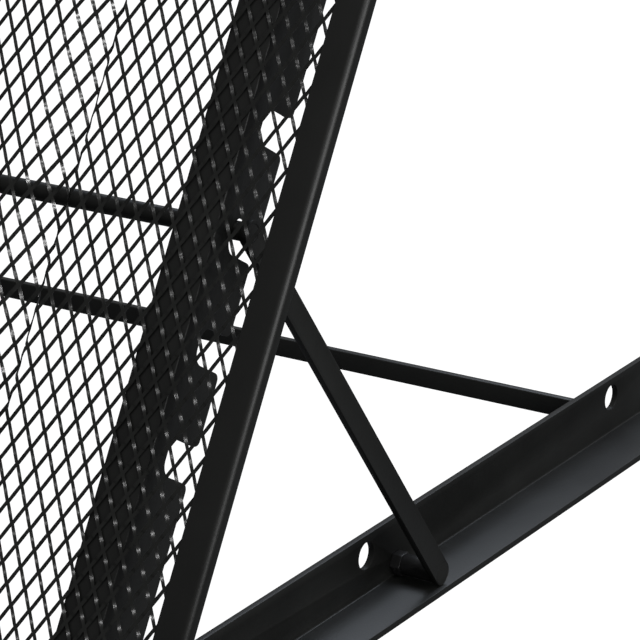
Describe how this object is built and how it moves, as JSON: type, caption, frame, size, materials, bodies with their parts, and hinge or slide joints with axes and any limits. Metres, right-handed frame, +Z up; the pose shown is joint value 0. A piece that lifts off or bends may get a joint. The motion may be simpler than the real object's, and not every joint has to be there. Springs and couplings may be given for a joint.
{
  "type": "folding side table",
  "caption": "Folding side table with an expanded-metal top hinged on an angle-iron base and held at a slope by a swinging prop in notched rails.",
  "frame": {"origin": "on the ground under the middle of the model", "axes": "+Z up, +X to the right, -Y towards the hinged edge of the top"},
  "size_m": [0.5444, 0.5438, 0.4763],
  "materials": {
    "frame": "satin",
    "mesh": "satin",
    "fastener": "satin"
  },
  "bodies": {
    "base": {"arm_right": "frame", "arm_left": "frame", "prop_screw_right": "fastener", "prop_screw_left": "fastener", "prop_outer_nut_right": "fastener", "prop_outer_nut_left": "fastener", "prop_inner_nut_right": "fastener", "prop_inner_nut_left": "fastener", "prop_spacer_right": "fastener", "prop_spacer_left": "fastener", "hinge_bolt_right": "fastener", "hinge_bolt_left": "fastener", "hinge_nut_right": "fastener", "hinge_nut_left": "fastener", "hinge_spacer_right": "fastener", "hinge_spacer_left": "fastener", "rear_cross_bar": "frame", "hinge_cross_bar": "frame"},
    "top": {"bottom_bar": "frame", "top_bar": "frame", "mesh_top": "mesh", "side_bar_right": "frame", "side_bar_left": "frame", "notched_rail_right": "frame", "notched_rail_left": "frame"},
    "prop": {"prop_rod": "frame", "strut_right": "frame", "strut_left": "frame"}
  },
  "joints": [
    {"name": "top_hinge", "type": "hinge", "parent": "base", "child": "top", "pos_m": [0, -0.24971, 0.02112], "axis": [1, 0, 0], "range_deg": [0, 50]},
    {"name": "prop_swing", "type": "hinge", "parent": "base", "child": "prop", "pos_m": [0, 0.00987, 0.00892], "axis": [1, 0, 0], "range_deg": [-121, 0]}
  ]
}
